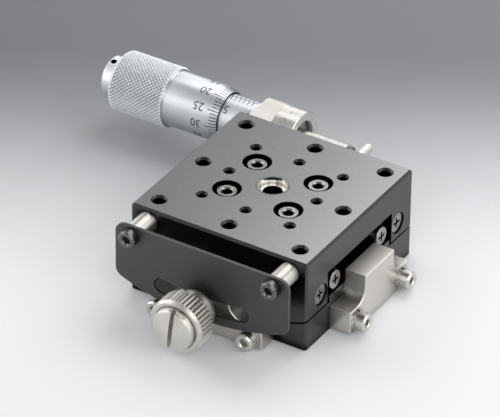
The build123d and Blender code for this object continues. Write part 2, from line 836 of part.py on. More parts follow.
# Bracket that carries the micrometer head beside the stage
with BuildPart() as micrometer_bracket:
    with BuildSketch(Plane.YZ.offset(bracket_left_x)) as side_view:
        with Locations((face + side_relief, bracket_bottom)):
            Rectangle(
                mic_offset + bracket_far_edge - side_relief,
                bracket_top - bracket_bottom,
                align=(Align.MIN, Align.MIN),
            )
        far_edge = side_view.vertices().group_by(Axis.Y)[-1]
        fillet(far_edge, bracket_corner)
        with Locations((mic_y, mic_z)):
            Circle(sleeve_stem_radius + thread_clearance, mode=Mode.SUBTRACT)
        with Locations((spring_y, mic_z)):
            Circle(spring_bore_radius, mode=Mode.SUBTRACT)
    extrude(amount=bracket_thickness)
    with BuildSketch(back.offset(face + side_relief)):
        with Locations((-foot_left_x, foot_bottom)):
            Rectangle(
                foot_right_x - foot_left_x, foot_top - foot_bottom, align=(Align.MAX, Align.MIN)
            )
    extrude(amount=foot_depth - side_relief)
    with BuildSketch(back.offset(face)):
        with Locations((-foot_left_x, foot_bottom)):
            Rectangle(
                foot_right_x - foot_left_x,
                base_pad_top - foot_bottom,
                align=(Align.MAX, Align.MIN),
            )
    extrude(amount=side_relief)
    with BuildSketch(back.offset(face)):
        for x in bracket_screw_x:
            with Locations((-x, bracket_screw_z)):
                Circle(m2_radius + pass_clearance)
    extrude(amount=foot_depth, mode=Mode.SUBTRACT)
    with Locations((anchor_pin_x, spring_y, bracket_top)):
        Cylinder(
            anchor_pin_radius + thread_clearance, anchor_pin_depth, align=top, mode=Mode.SUBTRACT
        )
save(micrometer_bracket, "micrometer_bracket")

with BuildPart() as bracket_screws:
    with Locations(back.offset(face + foot_depth)):
        for x in bracket_screw_x:
            with Locations((-x, bracket_screw_z)):
                add(m2_screw(foot_depth + block_bite))
save(bracket_screws, "bracket_screws")


# Half section of a turned piece of the micrometer, from (x, radius) points
def half_section(*points):
    with BuildSketch(mic_section) as section:
        with BuildLine():
            Polyline(*points, close=True)
        make_face()
    return section.sketch


# Graduated sleeve with the stem that passes through the bracket
with BuildPart() as micrometer_sleeve:
    section = half_section(
        (sleeve_end_x, spindle_screw_radius + running_clearance),
        (sleeve_end_x, sleeve_radius),
        (bracket_left_x, sleeve_radius),
        (bracket_left_x, sleeve_stem_radius),
        (sleeve_nose_x, sleeve_stem_radius),
        (sleeve_nose_x, spindle_radius + running_clearance),
        (sleeve_step_x, spindle_radius + running_clearance),
        (sleeve_step_x, spindle_screw_radius + running_clearance),
    )
    revolve(section, axis=mic_axis)
save(micrometer_sleeve, "micrometer_sleeve")

# Ring nut that clamps the stem in the bracket
with BuildPart() as ring_nut:
    section = half_section(
        (bracket_right_x, sleeve_stem_radius + thread_clearance),
        (bracket_right_x, nut_radius - light_edge),
        (bracket_right_x + light_edge, nut_radius),
        (nut_face_x - light_edge, nut_radius),
        (nut_face_x, nut_radius - light_edge),
        (nut_face_x, sleeve_stem_radius + thread_clearance + light_edge),
        (nut_face_x - light_edge, sleeve_stem_radius + thread_clearance),
    )
    revolve(section, axis=mic_axis)
    with Locations(mic_across.offset(nut_face_x - nut_hole_setback)):
        with PolarLocations(nut_radius - nut_hole_depth, nut_holes, nut_hole_angle):
            Cylinder(
                nut_hole_radius,
                2 * nut_hole_depth,
                rotation=(0, 90, 0),
                align=bottom,
                mode=Mode.SUBTRACT,
            )
save(ring_nut, "ring_nut")

# Spindle: plain nose, screw and tail
with BuildPart() as spindle:
    nose_x = spindle_tip_x - spindle_tip_length
    screw_end_x = thimble_floor_x + running_clearance
    tail_end_x = knurl_end_x - cap_length / 2
    section = half_section(
        (nose_x, 0),
        (nose_x, spindle_radius - light_edge),
        (nose_x - light_edge, spindle_radius),
        (spindle_step_x, spindle_radius),
        (spindle_step_x, spindle_screw_radius),
        (screw_end_x, spindle_screw_radius),
        (screw_end_x, spindle_tail_radius),
        (tail_end_x, spindle_tail_radius),
        (tail_end_x, 0),
    )
    revolve(section, axis=mic_axis)
save(spindle, "spindle")

# Hard tip that bears on the contact pin
with BuildPart() as spindle_tip:
    section = half_section(
        (nose_x, 0),
        (nose_x, spindle_tip_radius),
        (spindle_tip_x - light_edge, spindle_tip_radius),
        (spindle_tip_x, spindle_tip_radius - light_edge),
        (spindle_tip_x, 0),
    )
    revolve(section, axis=mic_axis)
save(spindle_tip, "spindle_tip")

# Thimble: knurled grip, plain barrel and bevelled edge for the graduations
with BuildPart() as thimble:
    bore = sleeve_radius + running_clearance
    section = half_section(
        (thimble_edge_x - thimble_mouth_depth, bore),
        (thimble_edge_x - thimble_mouth_depth, thimble_mouth_radius),
        (thimble_edge_x, thimble_mouth_radius),
        (thimble_edge_x, thimble_edge_radius),
        (thimble_edge_x - thimble_bevel_length, thimble_radius),
        (knurl_start_x, thimble_radius),
        (knurl_start_x, knurl_radius - knurl_edge / 2),
        (knurl_start_x - knurl_edge / 2, knurl_radius),
        (knurl_end_x + knurl_edge, knurl_radius),
        (knurl_end_x, knurl_radius - knurl_edge),
        (knurl_end_x, spindle_tail_radius + thread_clearance),
        (thimble_floor_x, spindle_tail_radius + thread_clearance),
        (thimble_floor_x, bore),
    )
    revolve(section, axis=mic_axis)
save(thimble, "thimble")

# Cap on the thimble's end with a pin spanner hole
with BuildPart() as thimble_cap:
    cap_face_x = knurl_end_x - cap_length
    section = half_section(
        (knurl_end_x, spindle_tail_radius + thread_clearance),
        (knurl_end_x, cap_radius),
        (cap_face_x + cap_edge, cap_radius),
        (cap_face_x, cap_radius - cap_edge),
        (cap_face_x, 0),
        (tail_end_x - running_clearance, 0),
        (tail_end_x - running_clearance, spindle_tail_radius + thread_clearance),
    )
    revolve(section, axis=mic_axis)
    with Locations(mic_across.offset(cap_face_x + cap_hole_setback)):
        with PolarLocations(cap_radius - cap_hole_depth, 1, cap_hole_angle):
            Cylinder(
                cap_hole_radius,
                2 * cap_hole_depth,
                rotation=(0, 90, 0),
                align=bottom,
                mode=Mode.SUBTRACT,
            )
save(thimble_cap, "thimble_cap")

# Contact pin screwed into the table's back leg, with a groove for the spring
with BuildPart() as contact_pin:
    for radius, start, end in (
        (m2_radius, face - pin_thread, face),
        (pin_flange_radius, face, face + pin_flange),
        (pin_radius, face + pin_flange, face + pin_length),
    ):
        with BuildSketch(back.offset(start)):
            with Locations((-pin_x, mic_z)):
                Circle(radius)
        extrude(amount=end - start)
    chamfer(contact_pin.edges().group_by(Axis.Y)[-1], shank_edge)
    with BuildSketch(back.offset(spring_y - spring_wire)):
        with Locations((-pin_x, mic_z)):
            Circle(pin_radius)
            Circle(pin_groove_radius, mode=Mode.SUBTRACT)
    extrude(amount=2 * spring_wire, mode=Mode.SUBTRACT)
save(contact_pin, "contact_pin")

# Cross pin in the bracket that anchors the spring
with BuildPart() as spring_anchor_pin:
    with Locations((anchor_pin_x, spring_y, bracket_top)):
        Cylinder(anchor_pin_radius, anchor_pin_depth, align=top)
save(spring_anchor_pin, "spring_anchor_pin")


# Straight round wire between two points
def wire_rod(start, end):
    with BuildPart() as rod:
        with BuildLine() as line:
            Line(start, end)
        with BuildSketch(Plane(start, z_dir=line.line % 0)):
            Circle(spring_wire / 2)
        sweep(path=line.line)
    return rod.part


# Return spring: an open coil with a loop at each end
with BuildPart() as return_spring:
    coil_length = spring_end_x - spring_start_x
    with BuildLine() as coil:
        Helix(
            coil_length / spring_coils,
            coil_length,
            spring_coil_radius,
            center=(spring_start_x, spring_y, mic_z),
            direction=(1, 0, 0),
        )
    with BuildSketch(Plane(coil.line @ 0, z_dir=coil.line % 0)):
        Circle(spring_wire / 2)
    sweep(path=coil.line, is_frenet=True)
    anchor_loop = anchor_pin_radius + thread_clearance + spring_wire / 2
    pin_loop = pin_groove_radius + thread_clearance + spring_wire / 2
    with Locations((anchor_pin_x, spring_y, mic_z)):
        Torus(anchor_loop, spring_wire / 2)
    with Locations((pin_x, spring_y, mic_z)):
        Torus(pin_loop, spring_wire / 2, rotation=(90, 0, 0))
    for bend, loop_x in (
        (coil.line @ 0, anchor_pin_x + anchor_loop),
        (coil.line @ 1, pin_x - pin_loop),
    ):
        with Locations(bend):
            Sphere(spring_wire / 2 + bend_swell)
        add(wire_rod(bend, (loop_x, spring_y, mic_z)))
save(return_spring, "return_spring")
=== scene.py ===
import math

import bpy
from mathutils import Matrix, Vector


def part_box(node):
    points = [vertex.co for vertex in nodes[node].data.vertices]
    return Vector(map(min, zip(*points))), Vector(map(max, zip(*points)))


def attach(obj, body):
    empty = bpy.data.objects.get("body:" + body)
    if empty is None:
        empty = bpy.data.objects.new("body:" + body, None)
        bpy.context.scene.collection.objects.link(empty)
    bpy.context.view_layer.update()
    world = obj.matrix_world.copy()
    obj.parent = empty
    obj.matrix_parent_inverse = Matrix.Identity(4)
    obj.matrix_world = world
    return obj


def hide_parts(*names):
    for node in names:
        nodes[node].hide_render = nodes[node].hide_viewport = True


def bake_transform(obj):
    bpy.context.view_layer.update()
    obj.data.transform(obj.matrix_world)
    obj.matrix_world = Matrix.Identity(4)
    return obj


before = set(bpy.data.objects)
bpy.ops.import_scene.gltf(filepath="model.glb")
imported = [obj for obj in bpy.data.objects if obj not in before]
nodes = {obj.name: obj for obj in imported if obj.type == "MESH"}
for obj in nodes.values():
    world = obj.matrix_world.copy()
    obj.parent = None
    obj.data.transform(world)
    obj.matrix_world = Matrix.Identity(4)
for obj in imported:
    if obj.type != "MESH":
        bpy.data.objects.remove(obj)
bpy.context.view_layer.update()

mm = 0.001
print("frame loaded:", len(nodes), "nodes")

# Camera at the photograph's angle: a long lens, looking down at the near right corner
camera = {
    "place": (0.37525, -0.62290, 0.50027),
    "right": (0.84963, 0.52726, 0.01078),
    "up": (-0.30049, 0.46720, 0.83152),
    "lens": 322.1,
    "sensor": 36.0,
}


def addCamera():
    lens = bpy.data.cameras.new("stageCamera")
    lens.lens = camera["lens"]
    lens.sensor_width = camera["sensor"]
    lens.sensor_fit = "HORIZONTAL"
    eye = bpy.data.objects.new("stageCamera", lens)
    right, up = Vector(camera["right"]), Vector(camera["up"])
    turn = Matrix((right, up, right.cross(up))).transposed()
    eye.matrix_world = Matrix.Translation(camera["place"]) @ turn.to_4x4()
    bpy.context.scene.collection.objects.link(eye)
    bpy.context.scene.camera = eye


addCamera()
bpy.context.scene.view_settings.view_transform = "Standard"
print("camera placed")


# One sRGB hex value as linear colour
def linear(hexCode):
    shares = [int(hexCode[i:i + 2], 16) / 255 for i in (1, 3, 5)]
    bent = [s / 12.92 if s <= 0.04045 else ((s + 0.055) / 1.055) ** 2.4 for s in shares]
    return (*bent, 1.0)


# Adds a node with its settings; an input is given a value or linked to an output
def addNode(tree, kind, settings=None, **inputs):
    node = tree.nodes.new("ShaderNode" + kind)
    for name, value in (settings or {}).items():
        setattr(node, name, value)
    for name, value in inputs.items():
        label = name.replace("_", " ")
        socket = node.inputs[int(label[1:])] if label[1:].isdigit() else node.inputs[label]
        if isinstance(value, bpy.types.NodeSocket):
            tree.links.new(value, socket)
        else:
            socket.default_value = value
    return node


# Every finish here is a metal: two colours in slow drifts, a grain in roughness and bump,
# edges painted lighter, partly as wear from handling and partly as a painted highlight, and
# corners and recesses painted darker as painted shade. Lengths are in millimetres. Real tool
# marks are finer than the grains here, which are drawn as coarse as they need to show.
# Stretch draws the grain out: its first share is across the piece's axis, its second along it.
# Spread is how far the grooves fan a reflection out along the axis
finishes = {
    # Hard black anodising over a bead-blasted face: dark, satin, with a fine even tooth
    "blackAnodisedAluminium": {
        "colours": ("#4C4C4E", "#505052"), "drift": 14.0, "wearAndHighlightColour": "#8A8A8C", "edge": 0.22,
        "roughness": (0.27, 0.31), "grain": 0.22, "depth": 0.0003,
        # A strong painted shade darkens the chamfers, slits and recesses
        "wearAndHighlight": 0.10, "paintedCornerShade": 0.95, "open": 0.97, "shut": 0.65,
    },
    # The thin plate comes out of the same bath more matt and a little browner
    "blackAnodisedPlate": {
        "colours": ("#565555", "#5B5A59"), "drift": 12.0, "wearAndHighlightColour": "#A8A7A6", "edge": 0.12,
        "roughness": (0.46, 0.54), "grain": 0.22, "depth": 0.0005,
        "wearAndHighlight": 0.5, "paintedCornerShade": 0.05,
    },
    # Black oxide on cap screws: a thin oily skin, its rims lightened partly as wear and partly
    # as a painted highlight
    "blackOxideSteel": {
        "colours": ("#5C5C5E", "#656464"), "drift": 2.0, "wearAndHighlightColour": "#B4B3B0", "edge": 0.20,
        "roughness": (0.22, 0.30), "grain": 0.15, "depth": 0.0006, "paintedCornerShade": 0.4,
    },
    # Stainless screws and pins, turned bright: rings round the axis, too fine to count
    "turnedSteel": {
        "colours": ("#CFCDC8", "#D8D6D1"), "drift": 3.0, "wearAndHighlightColour": "#ECEBE7", "edge": 0.10,
        "roughness": (0.24, 0.32), "grain": 0.10, "stretch": (0.06, 1), "spread": 0.6,
        "depth": 0.0008, "paintedCornerShade": 0.35,
    },
    # The screws sunk in the table's face are painted darker round their heads: painted shade
    "sunkSteel": {
        "colours": ("#CFCDC8", "#D8D6D1"), "drift": 3.0, "wearAndHighlightColour": "#ECEBE7", "edge": 0.06,
        "roughness": (0.20, 0.26), "grain": 0.10, "stretch": (0.06, 1),
        "depth": 0.0002, "paintedCornerShade": 1.0, "open": 0.93, "shut": 0.72,
    },
    # The bush is bored and reamed: bright walls with sharp streaks, and painted shade down the
    # hole
    "reamedSteel": {
        "colours": ("#D6D4CF", "#DEDCD7"), "drift": 3.0, "wearAndHighlightColour": "#F4F3EF", "edge": 0.08,
        "roughness": (0.13, 0.19), "grain": 0.10, "stretch": (0.06, 1), "depth": 0.0004,
        "paintedCornerShade": 1.0, "reach": 4.0, "open": 0.55, "shut": 0.20,
    },
    # Passivated steel of the guides' stop screws: a greyer skin, painted shade in the crosses
    "passivatedSteel": {
        "colours": ("#929395", "#A3A29F"), "drift": 1.2, "wearAndHighlightColour": "#CFCECB", "edge": 0.10,
        "roughness": (0.24, 0.34), "grain": 0.20, "stretch": (0.3, 1),
        "depth": 0.0020, "paintedCornerShade": 1.0, "open": 0.92, "shut": 0.60,
    },
    # Electroless nickel on milled steel: warm grey, satin, drawn along the cutter's path
    "satinNickel": {
        "colours": ("#CBC7C1", "#D4D0CA"), "drift": 5.0, "wearAndHighlightColour": "#F2EFEA", "edge": 0.20,
        "roughness": (0.34, 0.42), "grain": 0.16, "stretch": (0.04, 1), "spread": 0.7,
        "depth": 0.0040, "paintedCornerShade": 0.25,
    },
    # The end block is smoother, so its curves show the black stage beside it
    "buffedNickel": {
        "colours": ("#CFCBC5", "#D9D5CF"), "drift": 5.0, "wearAndHighlightColour": "#F8F6F2", "edge": 0.22,
        "roughness": (0.29, 0.36), "grain": 0.16, "stretch": (0.04, 1), "spread": 0.6,
        "depth": 0.0026, "paintedCornerShade": 0.35,
    },
    # The same nickel on turned pieces, whose fine rings fan the highlights out
    "turnedNickel": {
        "colours": ("#CFCBC5", "#D8D5CF"), "drift": 4.0, "wearAndHighlightColour": "#F2F0EC", "edge": 0.12,
        "roughness": (0.34, 0.42), "grain": 0.12, "stretch": (0.06, 1), "spread": 0.88,
        "depth": 0.0012, "paintedCornerShade": 0.55, "reach": 0.8, "open": 0.70, "shut": 0.30,
    },
    # The ring nut is pale, with the lathe's rings left plain to see
    "ringedNickel": {
        "colours": ("#D8D5D0", "#E2DFDA"), "drift": 2.0, "wearAndHighlightColour": "#F0EDE8", "edge": 0.16,
        "roughness": (0.26, 0.38), "grain": 0.25, "stretch": (0.04, 1), "spread": 0.5,
        "depth": 0.0030, "paintedCornerShade": 0.8, "reach": 0.8,
    },
    # Satin chrome on the micrometer: pale, cool and evenly matt, so the marks read well
    "satinChrome": {
        "colours": ("#D6DADE", "#DDE0E4"), "drift": 6.0, "wearAndHighlightColour": "#F2F4F6", "edge": 0.12,
        "roughness": (0.36, 0.44), "grain": 0.12, "stretch": (0.08, 1), "spread": 0.66,
        "depth": 0.0005,
    },
    # The end cap is polished a little finer, and its chrome is painted brighter as a painted
    # highlight
    "brightChrome": {
        "colours": ("#EFF1F4", "#F4F6F8"), "drift": 4.0, "wearAndHighlightColour": "#FBFCFD", "edge": 0.12,
        "roughness": (0.34, 0.40), "grain": 0.12, "stretch": (0.08, 1), "spread": 0.8,
        "depth": 0.0005, "paintedCornerShade": 1.0, "open": 0.60, "shut": 0.25,
    },
    # Chrome on the rolled knurl: pale and matt from its many small faces, with crowns
    # lightened partly as wear and partly as a painted highlight
    "rubbedChrome": {
        "colours": ("#E2E5E9", "#EAEDF0"), "drift": 1.0, "wearAndHighlightColour": "#FAFBFC", "edge": 0.10,
        "roughness": (0.58, 0.66), "grain": 0.10, "depth": 0.0005,
        "paintedCornerShade": 0.4, "reach": 0.4,
    },
    # Hardened bearing steel, ground: grey, with fine straight lines
    "groundSteel": {
        "colours": ("#8B8B8D", "#949495"), "drift": 4.0, "wearAndHighlightColour": "#C2C2C2", "edge": 0.10,
        "roughness": (0.20, 0.28), "grain": 0.08, "stretch": (1, 0.05), "depth": 0.0005,
    },
    # Brass strip for the cages, dulled a little by oil
    "rolledBrass": {
        "colours": ("#C9A45A", "#B8924C"), "drift": 3.0, "wearAndHighlightColour": "#E2C686", "edge": 0.06,
        "roughness": (0.26, 0.36), "grain": 0.12, "stretch": (1, 0.1), "depth": 0.0005,
    },
    # Drawn spring wire: bright, tinted a faint straw by the last heating
    "springWire": {
        "colours": ("#BDBAB4", "#A49C90"), "drift": 1.2, "wearAndHighlightColour": "#D6D3CC", "edge": 0.05,
        "roughness": (0.20, 0.30), "grain": 0.08, "depth": 0.0003,
    },
    # Tungsten carbide tip, lapped: dark and glossy
    "lappedCarbide": {
        "colours": ("#6E6E72", "#78787C"), "drift": 1.0, "wearAndHighlightColour": "#9A9A9E", "edge": 0.05,
        "roughness": (0.08, 0.13), "grain": 0.06, "depth": 0.0001,
    },
}
# The table's top face is painted a paler grey than its sides: a painted sheen for the light
# the top reflects
finishes["anodisedAluminiumPaintedTopSheen"] = {
    **finishes["blackAnodisedAluminium"], "paintedTopSheen": "#989899",
}
# What a finish has where it doesn't say otherwise. Reach is how far from a corner the painted
# shade goes, which starts where a place is "open" to the air and is full where it is "shut"
common = {
    "wearAndHighlight": 1.0, "stretch": (1, 1), "spread": 0.0,
    "reach": 2.5, "open": 0.88, "shut": 0.50, "paintedCornerShade": 0.6, "paintedShadeColour": "#0C0B0B",
    # Height above which the table's top is painted paler as a painted sheen
    "paintedTopSheenHeight": 19.99,
    "tilt": Vector((0.02, 0.03, 0.05)),  # keeps the grooves from lying end on to a face
    "driftDetail": 2.0, "grainDetail": 3.0,
    "grainLow": 0.3, "grainHigh": 0.7,  # values of the grain at least and most roughness
    # The edge lightening these turns bound is partly wear and partly a painted highlight
    "roundedLittle": 0.99, "roundedMuch": 0.88,  # turn of an edge where wear starts and ends
    "samples": 6,
}


def newFinish(name, base, axis=(1, 0, 0)):
    f = {**common, **finishes[base]}
    material = bpy.data.materials.new(name)
    material.use_nodes = True
    tree = material.node_tree
    shader = tree.nodes["Principled BSDF"]
    shader.inputs["Metallic"].default_value = 1.0
    shader.inputs["Anisotropic"].default_value = f["spread"]
    place = addNode(tree, "TexCoord").outputs["Object"]
    stretch = [f["stretch"][1 if share else 0] for share in axis]
    drift = addNode(
        tree, "TexNoise", Vector=place, Scale=1 / (f["drift"] * mm),
        Detail=f["driftDetail"],
    )
    drawn = addNode(tree, "Mapping", Vector=place, Scale=stretch)
    grain = addNode(
        tree, "TexNoise", Vector=drawn.outputs[0], Scale=1 / (f["grain"] * mm),
        Detail=f["grainDetail"],
    )
    body = addNode(
        tree, "Mix", {"data_type": "RGBA"}, i0=drift.outputs[0],
        i6=linear(f["colours"][0]), i7=linear(f["colours"][1]),
    )
    # Painted sheen: faces above this height take a paler grey
    if "paintedTopSheen" in f:
        height = addNode(tree, "SeparateXYZ", Vector=place).outputs["Z"]
        onTop = addNode(
            tree, "Math", {"operation": "GREATER_THAN"}, i0=height, i1=f["paintedTopSheenHeight"] * mm
        )
        body = addNode(
            tree, "Mix", {"data_type": "RGBA"}, i0=onTop.outputs[0],
            i6=body.outputs[2], i7=linear(f["paintedTopSheen"]),
        )
    # Edges painted lighter: partly wear, partly a painted highlight
    rounded = addNode(tree, "Bevel", {"samples": f["samples"]}, Radius=f["edge"] * mm)
    facing = addNode(
        tree, "VectorMath", {"operation": "DOT_PRODUCT"},
        i0=rounded.outputs[0], i1=addNode(tree, "NewGeometry").outputs["Normal"],
    )
    wearAndHighlightShare = addNode(
        tree, "MapRange", Value=facing.outputs["Value"], From_Min=f["roundedLittle"],
        From_Max=f["roundedMuch"], To_Min=0.0, To_Max=f["wearAndHighlight"],
    )
    wearAndHighlightColour = addNode(
        tree, "Mix", {"data_type": "RGBA"}, i0=wearAndHighlightShare.outputs[0],
        i6=body.outputs[2], i7=linear(f["wearAndHighlightColour"]),
    )
    # Painted shade: corners, creases and recesses are darkened by occlusion towards a
    # near-black colour
    sky = addNode(
        tree, "AmbientOcclusion", {"samples": f["samples"]}, Distance=f["reach"] * mm
    )
    hidden = addNode(
        tree, "MapRange", Value=sky.outputs["AO"], From_Min=f["open"], From_Max=f["shut"],
        To_Min=0.0, To_Max=f["paintedCornerShade"],
    )
    shadedColour = addNode(
        tree, "Mix", {"data_type": "RGBA"}, i0=hidden.outputs[0],
        i6=wearAndHighlightColour.outputs[2], i7=linear(f["paintedShadeColour"]),
    )
    rough = addNode(
        tree, "MapRange", Value=grain.outputs[0], From_Min=f["grainLow"],
        From_Max=f["grainHigh"], To_Min=f["roughness"][0], To_Max=f["roughness"][1],
    )
    tooth = addNode(
        tree, "Bump", Distance=f["depth"] * mm, Strength=1.0, Height=grain.outputs[0]
    )
    tree.links.new(shadedColour.outputs[2], shader.inputs["Base Color"])
    tree.links.new(rough.outputs[0], shader.inputs["Roughness"])
    tree.links.new(tooth.outputs[0], shader.inputs["Normal"])
    if f["spread"]:
        x, y, z = Vector(axis) + f["tilt"]
        grooves = addNode(tree, "CombineXYZ", X=x, Y=y, Z=z)
        tree.links.new(grooves.outputs[0], shader.inputs["Tangent"])
    return material


# Black enamel rubbed into the graduations: dull, and thin in patches this wide
enamelLook = {
    "colours": ("#1E2024", "#3C3F44"), "roughness": 0.5, "patch": 0.4 * mm, "detail": 3.0,
}


def newEnamel():
    look = enamelLook
    material = bpy.data.materials.new("blackEnamel")
    material.use_nodes = True
    tree = material.node_tree
    shader = tree.nodes["Principled BSDF"]
    shader.inputs["Roughness"].default_value = look["roughness"]
    place = addNode(tree, "TexCoord").outputs["Object"]
    patches = addNode(
        tree, "TexNoise", Vector=place, Scale=1 / look["patch"], Detail=look["detail"]
    )
    paint = addNode(
        tree, "Mix", {"data_type": "RGBA"}, i0=patches.outputs[0],
        i6=linear(look["colours"][0]), i7=linear(look["colours"][1]),
    )
    tree.links.new(paint.outputs[2], shader.inputs["Base Color"])
    return material


alongX, alongY, alongZ = (1, 0, 0), (0, 1, 0), (0, 0, 1)
steelAlongX = newFinish("turnedSteelAlongX", "turnedSteel", alongX)
steelAlongY = newFinish("turnedSteelAlongY", "turnedSteel", alongY)
steelAlongZ = newFinish("turnedSteelAlongZ", "turnedSteel", alongZ)
sunkSteel = newFinish("turnedSteelSunk", "sunkSteel", alongZ)
boredSteel = newFinish("reamedSteel", "reamedSteel", alongZ)
stopSteel = newFinish("passivatedSteel", "passivatedSteel", alongX)
blackAnodised = newFinish("blackAnodisedAluminium", "blackAnodisedAluminium")
tableAnodised = newFinish("anodisedAluminiumPaintedTopSheen", "anodisedAluminiumPaintedTopSheen")
plateAnodised = newFinish("blackAnodisedPlate", "blackAnodisedPlate")
blackOxide = newFinish("blackOxideSteel", "blackOxideSteel")
nickelMilledY = newFinish("satinNickelMilledAlongY", "satinNickel", (1, 0, 1))
nickelBuffed = newFinish("buffedNickelAlongY", "buffedNickel", (1, 0, 1))
nickelMilledX = newFinish("satinNickelMilledAlongX", "satinNickel", (0, 1, 1))
turnedNickelY = newFinish("turnedNickelAlongY", "turnedNickel", alongY)
ringedNickel = newFinish("ringedNickel", "ringedNickel", alongX)
chrome = newFinish("satinChrome", "satinChrome", alongX)
chromeCap = newFinish("brightChrome", "brightChrome", alongX)
chromeGrip = newFinish("rubbedChrome", "rubbedChrome", alongX)
ground = newFinish("groundSteel", "groundSteel", alongX)
brass = newFinish("rolledBrass", "rolledBrass", alongX)
wire = newFinish("springWire", "springWire")
carbide = newFinish("lappedCarbide", "lappedCarbide")
enamel = newEnamel()

nodeFinish = {
    "base": blackAnodised,
    "inner_rails": ground,
    "inner_rail_screws": steelAlongZ,
    "base_stop_screws": stopSteel,
    "end_block": nickelBuffed,
    "end_block_screws": steelAlongX,
    "clamp_block": nickelMilledX,
    "clamp_block_screws": steelAlongY,
    "spring_washers": steelAlongZ,
    "micrometer_bracket": nickelMilledY,
    "bracket_screws": steelAlongY,
    "micrometer_sleeve": chrome,
    "ring_nut": ringedNickel,
    "spring_anchor_pin": steelAlongZ,
    "return_spring": wire,
    "roller_cages": brass,
    "rollers": ground,
    "table": tableAnodised,
    "outer_rails": ground,
    "outer_rail_screws": blackOxide,
    "table_stop_screws": stopSteel,
    "centre_bush": boredSteel,
    "bush_plate": blackAnodised,
    "bush_plate_screws": sunkSteel,
    "standoffs": turnedNickelY,
    "clamp_plate": plateAnodised,
    "clamp_plate_screws": blackOxide,
    "contact_pin": steelAlongY,
    "spindle": steelAlongX,
    "spindle_tip": carbide,
    "thimble": chrome,
    "thimble_cap": chromeCap,
    "clamp_washer": steelAlongY,
    "clamp_knob": turnedNickelY,
    "clamp_stud": steelAlongY,
}
for nodeName, finish in nodeFinish.items():
    for materialSlot in nodes[nodeName].material_slots:
        materialSlot.material = finish
print("materials made and given to the CAD nodes")


def deselectAll():
    if bpy.context.mode != "OBJECT":
        bpy.ops.object.mode_set(mode="OBJECT")
    bpy.ops.object.select_all(action="DESELECT")


# Neighbouring faces that turn less than this, in degrees, are shaded as one
smoothAngles = {"turned": 30.0, "knurled": 20.0, "wire": 60.0}


# Settles a piece's place, shading and material, and rides it on its body
def finishPiece(piece, name, material, body, smooth="turned"):
    deselectAll()
    piece.select_set(True)
    bpy.context.view_layer.objects.active = piece
    bpy.ops.object.transform_apply(location=True, rotation=True, scale=True)
    bpy.ops.object.shade_smooth_by_angle(angle=math.radians(smoothAngles[smooth]))
    piece.name = name
    piece.data.name = name
    piece.data.materials.clear()
    piece.data.materials.append(material)
    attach(piece, body)
    return piece


# Selects the faces or edges that pass a test on their place, and stays in edit mode
def selectWhere(piece, kind, test):
    bpy.ops.object.mode_set(mode="EDIT")
    bpy.ops.mesh.select_mode(type=kind)
    bpy.ops.mesh.select_all(action="DESELECT")
    bpy.ops.object.mode_set(mode="OBJECT")
    parts = piece.data.polygons if kind == "FACE" else piece.data.edges
    for part in parts:
        part.select = test(part)
    bpy.ops.object.mode_set(mode="EDIT")


# Axis of the micrometer, from the spindle's box
spindleLow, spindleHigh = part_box("spindle")
axisY = (spindleLow.y + spindleHigh.y) / 2
axisZ = (spindleLow.z + spindleHigh.z) / 2
weldGap = 0.001 * mm


# A turned shell: a circle extruded and scaled round its closed profile of (x, radius) points
def turnShell(profile, segments):
    deselectAll()
    x, radius = profile[0]
    bpy.ops.mesh.primitive_circle_add(
        vertices=segments, radius=radius, location=(x, axisY, axisZ),
        rotation=(0, math.pi / 2, 0),
    )
    piece = bpy.context.object
    bpy.ops.object.mode_set(mode="EDIT")
    bpy.ops.mesh.select_mode(type="EDGE")
    bpy.ops.mesh.select_all(action="SELECT")
    for nextX, nextRadius in profile[1:] + profile[:1]:
        bpy.ops.mesh.extrude_region_move(TRANSFORM_OT_translate={"value": (nextX - x, 0, 0)})
        scale = nextRadius / radius
        bpy.ops.transform.resize(
            value=(1, scale, scale), center_override=(nextX, axisY, axisZ)
        )
        x, radius = nextX, nextRadius
    bpy.ops.mesh.select_all(action="SELECT")
    bpy.ops.mesh.remove_doubles(threshold=weldGap)
    bpy.ops.mesh.normals_make_consistent(inside=False)
    bpy.ops.object.mode_set(mode="OBJECT")
    return piece


# Thimble: knurled grip, plain barrel and bevelled edge
thimble = {
    "edge": -28.7 * mm,
    "edgeRadius": 5.25 * mm,
    "mouthRadius": 5.1 * mm,
    "mouthDepth": 2.0 * mm,
    "bevel": 2.4 * mm,
    "barrel": 5.9 * mm,
    "gripStart": -41.3 * mm,
    "gripEnd": -54.4 * mm,
    "gripEdge": 0.45 * mm,
    "gripRadius": 6.5 * mm,
    "gripCore": 6.22 * mm,
    "gripBevel": 0.25 * mm,
    "bore": 4.9 * mm,
    "floor": -52.4 * mm,
    "tail": 2.05 * mm,
    "around": 50,
    "along": 14,
    "toothInset": 0.2 * mm,
    "segments": 160,
}


def buildThimble():
    t = thimble
    rim = t["gripCore"] - t["gripBevel"]
    shell = turnShell(
        [
            (t["edge"] - t["mouthDepth"], t["bore"]),
            (t["edge"] - t["mouthDepth"], t["mouthRadius"]),
            (t["edge"], t["mouthRadius"]),
            (t["edge"], t["edgeRadius"]),
            (t["edge"] - t["bevel"], t["barrel"]),
            (t["gripStart"], t["barrel"]),
            (t["gripStart"], rim),
            (t["gripStart"] - t["gripEdge"], t["gripCore"]),
            (t["gripEnd"] + t["gripEdge"], t["gripCore"]),
            (t["gripEnd"], rim),
            (t["gripEnd"], t["tail"]),
            (t["floor"], t["tail"]),
            (t["floor"], t["bore"]),
        ],
        t["segments"],
    )
    return finishPiece(shell, "thimbleBarrel", chrome, "thimble")


